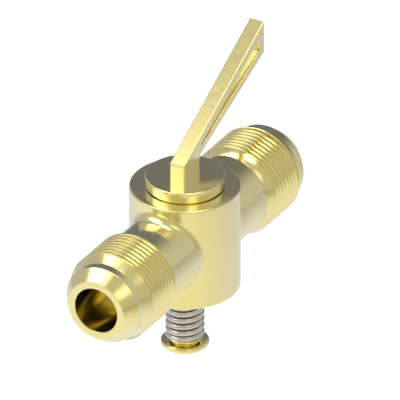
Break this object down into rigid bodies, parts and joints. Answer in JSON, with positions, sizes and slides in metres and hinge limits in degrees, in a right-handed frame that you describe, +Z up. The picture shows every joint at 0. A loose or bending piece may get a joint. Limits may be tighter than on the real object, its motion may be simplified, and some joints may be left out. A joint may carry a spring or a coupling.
{
  "type": "flare shut-off valve",
  "caption": "Brass lever shut-off valve with a spring-loaded taper plug between two male flare ends.",
  "frame": {"origin": "crossing of the flow axis and the plug axis", "axes": "+X along the flow to the outlet, over which the lever lies when open; +Z up the plug axis to the lever"},
  "size_m": [0.0588, 0.0184, 0.0499],
  "materials": {
    "brass_body": "bright turned and polished",
    "brass_plug": "bright forged and polished",
    "brass_washer": "stamped",
    "spring_steel": "drawn wire",
    "brass_retainer": "bright turned"
  },
  "bodies": {
    "body": {"valve_body": "brass_body"},
    "plug": {"plug": "brass_plug", "spring_washer": "brass_washer", "spring": "spring_steel", "spring_retainer": "brass_retainer"}
  },
  "joints": [
    {"name": "plug_turn", "type": "hinge", "parent": "body", "child": "plug", "pos_m": [0, 0, 0], "axis": [0, 0, 1], "continuous": true}
  ]
}
